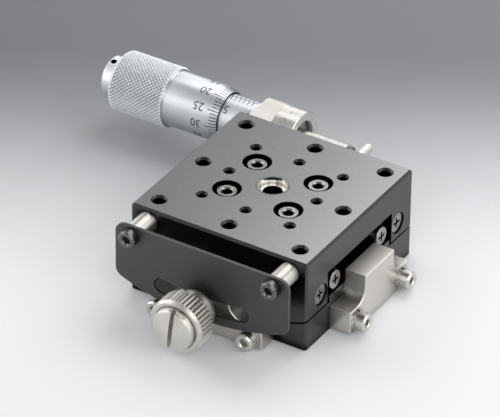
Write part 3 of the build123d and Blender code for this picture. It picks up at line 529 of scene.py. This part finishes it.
# Diamond knurl: a cylinder's squares are poked and dissolved to diamonds, then each is raised
def buildKnurl():
    t = thimble
    start, end = t["gripStart"] - t["gripEdge"] / 2, t["gripEnd"] + t["gripEdge"] / 2
    deselectAll()
    bpy.ops.mesh.primitive_cylinder_add(
        vertices=t["around"], radius=t["gripCore"], depth=start - end, end_fill_type="NOTHING",
        location=((start + end) / 2, axisY, axisZ), rotation=(0, math.pi / 2, 0),
    )
    piece = bpy.context.object
    bpy.ops.object.transform_apply(location=True, rotation=True, scale=True)
    corners = piece.data.vertices

    def runsAlong(edge):
        a, b = edge.vertices
        return abs(corners[a].co.x - corners[b].co.x) > mm

    selectWhere(piece, "EDGE", runsAlong)
    bpy.ops.mesh.subdivide(number_cuts=t["along"] - 1)
    bpy.ops.mesh.select_all(action="SELECT")
    bpy.ops.object.mode_set(mode="OBJECT")
    before = len(piece.data.vertices)
    bpy.ops.object.mode_set(mode="EDIT")
    bpy.ops.mesh.poke(offset=0.0)
    bpy.ops.object.mode_set(mode="OBJECT")
    for vertex in piece.data.vertices:
        out = Vector((0, vertex.co.y - axisY, vertex.co.z - axisZ)).normalized()
        vertex.co.y = axisY + out.y * t["gripCore"]
        vertex.co.z = axisZ + out.z * t["gripCore"]
    selectWhere(piece, "EDGE", lambda edge: max(edge.vertices) < before)
    bpy.ops.mesh.dissolve_edges(use_verts=False)
    selectWhere(piece, "FACE", lambda face: len(face.vertices) == 4)
    bpy.ops.mesh.inset(
        thickness=t["toothInset"], depth=t["gripRadius"] - t["gripCore"], use_individual=True
    )
    finishPiece(piece, "thimbleKnurl", chromeGrip, "thimble", "knurled")


# Graduations: one enamelled tick is laid on the surface and spun round the axis
graduation = {
    "divisions": 50,
    "numberEvery": 5,
    "shortTick": 1.6 * mm,
    "longTick": 2.4 * mm,
    "width": 0.17 * mm,
    "proud": 0.012 * mm,
    "sunk": 0.06 * mm,
    "anchorNumber": 20,
    "anchorAngle": math.radians(108.0),
    "numberPlace": -33.2 * mm,
    "numberHeight": 1.75 * mm,
    "figureShare": 0.7,  # a figure's height as a share of its type size
    "slices": 8,  # cuts across a figure, so that it bends round the barrel
}


# One tick along the axis, at an angle from +Y towards +Z, between two (x, radius) ends
def addTick(first, last, angle):
    g = graduation
    middle = Vector(((first[0] + last[0]) / 2, 0, (first[1] + last[1]) / 2))
    slope = math.atan2(first[1] - last[1], last[0] - first[0])
    length = math.hypot(last[0] - first[0], last[1] - first[1])
    bpy.ops.mesh.primitive_cube_add(size=1, location=(0, 0, 0))
    tick = bpy.context.object
    tick.scale = (length, g["width"], g["proud"] + g["sunk"])
    bpy.ops.object.transform_apply(location=False, rotation=False, scale=True)
    lift = Matrix.Translation((0, 0, (g["proud"] - g["sunk"]) / 2))
    around = Matrix.Rotation(angle - math.pi / 2, 4, "X")
    place = Matrix.Translation((0, axisY, axisZ)) @ around @ Matrix.Translation(middle)
    tick.data.transform(place @ Matrix.Rotation(slope, 4, "Y") @ lift)
    return tick


def spinCopies(piece, steps, turn):
    bpy.ops.object.mode_set(mode="EDIT")
    bpy.ops.mesh.select_all(action="SELECT")
    bpy.ops.mesh.spin(
        steps=steps, dupli=True, angle=turn, center=(0, axisY, axisZ), axis=(1, 0, 0)
    )
    bpy.ops.object.mode_set(mode="OBJECT")


def joinPieces(pieces):
    deselectAll()
    for piece in pieces:
        piece.select_set(True)
    bpy.context.view_layer.objects.active = pieces[0]
    bpy.ops.object.join()
    return bpy.context.object


def thimbleRadius(x):
    t = thimble
    rise = min(1.0, (t["edge"] - x) / t["bevel"])
    return t["edgeRadius"] + (t["barrel"] - t["edgeRadius"]) * rise


def buildThimbleTicks():
    g, edge = graduation, thimble["edge"]
    division = 2 * math.pi / g["divisions"]
    zero = g["anchorAngle"] - g["anchorNumber"] * division
    ticks = []
    for count in range(g["numberEvery"]):
        reach = g["shortTick"] if count else g["longTick"]
        deselectAll()
        tick = addTick(
            (edge - reach, thimbleRadius(edge - reach)), (edge, thimbleRadius(edge)),
            zero + count * division,
        )
        groups = g["divisions"] // g["numberEvery"]
        spinCopies(tick, groups - 1, 2 * math.pi * (groups - 1) / groups)
        ticks.append(tick)
    joined = joinPieces(ticks)
    finishPiece(joined, "thimbleTicks", enamel, "thimble")


# Text laid round the axis: it runs towards -X, and its top points on round the circle
def wrapNumber(text, height, centreX, radius, angle):
    deselectAll()
    bpy.ops.object.text_add(location=(0, 0, 0))
    label = bpy.context.object
    label.data.body = text
    label.data.size = height / graduation["figureShare"]
    label.data.align_x = "CENTER"
    label.data.extrude = (graduation["proud"] + graduation["sunk"]) / 2
    bpy.ops.object.convert(target="MESH")
    label = bpy.context.object
    bpy.ops.object.mode_set(mode="EDIT")
    slices = graduation["slices"]
    for cut in range(slices + 1):
        bpy.ops.mesh.select_all(action="SELECT")
        bpy.ops.mesh.bisect(plane_co=(0, height * cut / slices, 0), plane_no=(0, 1, 0))
    bpy.ops.object.mode_set(mode="OBJECT")
    lift = (graduation["proud"] - graduation["sunk"]) / 2
    for vertex in label.data.vertices:
        across, up, out = vertex.co
        turn = angle + (up - height / 2) / radius
        reach = radius + out + lift
        vertex.co = (
            centreX - across, axisY + reach * math.cos(turn), axisZ + reach * math.sin(turn)
        )
    return label


def buildThimbleNumbers():
    g = graduation
    division = 2 * math.pi / g["divisions"]
    labels = []
    for number in range(0, g["divisions"], g["numberEvery"]):
        angle = g["anchorAngle"] + (number - g["anchorNumber"]) * division
        labels.append(
            wrapNumber(
                str(number), g["numberHeight"], g["numberPlace"], thimble["barrel"], angle
            )
        )
    joined = joinPieces(labels)
    finishPiece(joined, "thimbleNumbers", enamel, "thimble")


barrel = buildThimble()
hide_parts("thimble")
buildKnurl()
buildThimbleTicks()
buildThimbleNumbers()
print("thimble built")

# Sleeve: a datum line with millimetre and half millimetre ticks
sleeve = {
    "radius": 4.8 * mm,
    "zero": -22.6 * mm,
    "lastMark": 14,
    "step": 1.0 * mm,
    "datum": math.radians(83.0),
    "tickEnd": math.radians(105.0),
    "longEnd": math.radians(118.0),
    "halfEnd": math.radians(67.0),
    "width": 0.15 * mm,
    "numberAngle": math.radians(131.0),
    "numberHeight": 1.7 * mm,
    "numberEvery": 5,
    "arcSteps": 8,
}


# A tick round the sleeve: a short bar spun through its angle
def addRoundTick(x, start, end):
    s, g = sleeve, graduation
    deselectAll()
    bpy.ops.mesh.primitive_plane_add(size=1, location=(0, 0, 0))
    bar = bpy.context.object
    depth = g["proud"] + g["sunk"]
    bar.scale = (s["width"], depth, 1)
    bpy.ops.object.transform_apply(location=False, rotation=False, scale=True)
    out = s["radius"] + (g["proud"] - g["sunk"]) / 2
    place = Matrix.Translation((x, axisY, axisZ)) @ Matrix.Rotation(start, 4, "X")
    bar.data.transform(place @ Matrix.Translation((0, out, 0)))
    bpy.ops.object.mode_set(mode="EDIT")
    bpy.ops.mesh.select_all(action="SELECT")
    bpy.ops.mesh.spin(
        steps=s["arcSteps"], angle=end - start, center=(0, axisY, axisZ), axis=(1, 0, 0)
    )
    bpy.ops.mesh.select_all(action="SELECT")
    bpy.ops.mesh.normals_make_consistent(inside=False)
    bpy.ops.object.mode_set(mode="OBJECT")
    return bar


def buildSleeveMarks():
    s = sleeve
    last = s["zero"] - s["lastMark"] * s["step"]
    deselectAll()
    marks = [addTick((last, s["radius"]), (s["zero"], s["radius"]), s["datum"])]
    for count in range(s["lastMark"] + 1):
        x = s["zero"] - count * s["step"]
        numbered = count % s["numberEvery"] == 0
        marks.append(addRoundTick(x, s["datum"], s["longEnd"] if numbered else s["tickEnd"]))
        if count < s["lastMark"]:
            marks.append(addRoundTick(x - s["step"] / 2, s["datum"], s["halfEnd"]))
        if numbered:
            marks.append(
                wrapNumber(str(count), s["numberHeight"], x, s["radius"], s["numberAngle"])
            )
    joined = joinPieces(marks)
    finishPiece(joined, "sleeveMarks", enamel, "base")


buildSleeveMarks()
print("sleeve marks built")

# Return spring: coil and two hooks in one wire, built in one pose; the real spring stretches
# as the table tilts
spring = {
    "wire": 0.45 * mm,
    "coil": 1.2 * mm,
    "turns": 10,
    "start": -15.4 * mm,
    "end": -1.6 * mm,
    "anchor": -19.0 * mm,
    "pin": 1.15 * mm,
    "anchorLoop": 0.875 * mm,
    "pinLoop": 0.975 * mm,
    "perTurn": 24,
    "roundness": 3,
}


def buildSpring():
    s = spring
    low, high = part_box("return_spring")
    y, z = (low.y + high.y) / 2, axisZ
    points = []
    for i in range(s["perTurn"] + 1):
        turn = 2 * math.pi * i / s["perTurn"]
        x = s["anchor"] + s["anchorLoop"] * math.cos(turn)
        points.append((x, y + s["anchorLoop"] * math.sin(turn), z))
    count = s["turns"] * s["perTurn"]
    for i in range(count + 1):
        turn = 2 * math.pi * i / s["perTurn"]
        x = s["start"] + (s["end"] - s["start"]) * i / count
        points.append((x, y + s["coil"] * math.sin(turn), z + s["coil"] * math.cos(turn)))
    for i in range(s["perTurn"] + 1):
        turn = 2 * math.pi * i / s["perTurn"]
        x = s["pin"] - s["pinLoop"] * math.cos(turn)
        points.append((x, y, z + s["pinLoop"] * math.sin(turn)))
    line = bpy.data.curves.new("returnSpring", "CURVE")
    line.dimensions = "3D"
    line.bevel_depth = s["wire"] / 2
    line.bevel_resolution = s["roundness"]
    line.use_fill_caps = True
    run = line.splines.new("POLY")
    run.points.add(len(points) - 1)
    for place, point in zip(run.points, points):
        place.co = (*point, 1.0)
    piece = bpy.data.objects.new("returnSpring", line)
    bpy.context.scene.collection.objects.link(piece)
    deselectAll()
    piece.select_set(True)
    bpy.context.view_layer.objects.active = piece
    bpy.ops.object.convert(target="MESH")
    piece = bpy.context.object
    bpy.ops.object.shade_smooth_by_angle(angle=math.radians(smoothAngles["wire"]))
    piece.data.materials.clear()
    piece.data.materials.append(wire)
    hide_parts("return_spring")
    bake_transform(piece)


buildSpring()
print("return spring built")

# Studio: a pale floor that darkens away from the camera as painted shade, pale surroundings
# and soft lamps; a lamp's radiance is how bright its face is, and 1 is white
studio = {
    "floorNear": "#EDEEF0",
    "floorFarPaintedShade": "#696B6F",
    "fadeStart": -0.015,
    "fadeEnd": 0.085,
    "floorSize": 6.0,
    "floorRoughness": 0.6,
    "worldColour": "#E6E8EB",
    "worldStrength": 0.22,
}
lamps = {
    "sheenBox": {
        "place": (-0.005, 0.215, 0.20), "aim": (-0.005, 0.215, 0),
        "size": (0.20, 0.30), "radiance": 2.6,
    },
    "leftBox": {
        "place": (-0.90, -0.10, 0.42), "aim": (0, 0, 0), "size": (1.0, 1.0), "radiance": 1.8,
    },
    "rightBox": {
        "place": (0.90, 0.10, 0.42), "aim": (0, 0, 0), "size": (1.0, 1.0), "radiance": 1.95,
    },
    "frontLeftBox": {
        "place": (-0.50, -0.80, 0.35), "aim": (0, 0, 0), "size": (0.8, 0.7), "radiance": 1.2,
    },
    "frontRightBox": {
        "place": (0.45, -0.75, 0.50), "aim": (0, 0, 0), "size": (0.8, 0.8), "radiance": 1.9,
    },
    "backRightBox": {
        "place": (0.47, 0.75, 0.33), "aim": (0, 0, 0), "size": (0.8, 0.6), "radiance": 0.8,
    },
    "backLeftBox": {
        "place": (-0.60, 0.76, 0.25), "aim": (0, 0, 0), "size": (0.8, 0.5), "radiance": 1.2,
    },
}


def buildFloor():
    deselectAll()
    bpy.ops.mesh.primitive_plane_add(size=studio["floorSize"], location=(0, 0, 0))
    floor = bpy.context.object
    floor.name = "studioFloor"
    material = bpy.data.materials.new("paintedFloor")
    material.use_nodes = True
    tree = material.node_tree
    shader = tree.nodes["Principled BSDF"]
    shader.inputs["Roughness"].default_value = studio["floorRoughness"]
    place = addNode(tree, "TexCoord").outputs["Object"]
    # Painted shade: the floor's colour darkens away from the camera
    away = Vector((-camera["place"][0], -camera["place"][1], 0)).normalized()
    depth = addNode(tree, "VectorMath", {"operation": "DOT_PRODUCT"}, i0=place, i1=away)
    fade = addNode(
        tree, "MapRange", {"interpolation_type": "SMOOTHSTEP"}, Value=depth.outputs["Value"],
        From_Min=studio["fadeStart"], From_Max=studio["fadeEnd"], To_Min=0.0, To_Max=1.0,
    )
    paint = addNode(
        tree, "Mix", {"data_type": "RGBA"}, i0=fade.outputs[0],
        i6=linear(studio["floorNear"]), i7=linear(studio["floorFarPaintedShade"]),
    )
    tree.links.new(paint.outputs[2], shader.inputs["Base Color"])
    floor.data.materials.append(material)


def buildLights():
    world = bpy.data.worlds.new("studioWorld")
    world.use_nodes = True
    sky = world.node_tree.nodes["Background"]
    sky.inputs["Color"].default_value = linear(studio["worldColour"])
    sky.inputs["Strength"].default_value = studio["worldStrength"]
    bpy.context.scene.world = world
    for name, lamp in lamps.items():
        light = bpy.data.lights.new(name, "AREA")
        light.shape = "RECTANGLE"
        light.size, light.size_y = lamp["size"]
        light.energy = lamp["radiance"] * math.pi * light.size * light.size_y
        box = bpy.data.objects.new(name, light)
        box.location = lamp["place"]
        aim = Vector(lamp["aim"]) - Vector(lamp["place"])
        box.rotation_euler = aim.to_track_quat("-Z", "Y").to_euler()
        box.visible_camera = False
        bpy.context.scene.collection.objects.link(box)


buildFloor()
buildLights()
print("studio built")
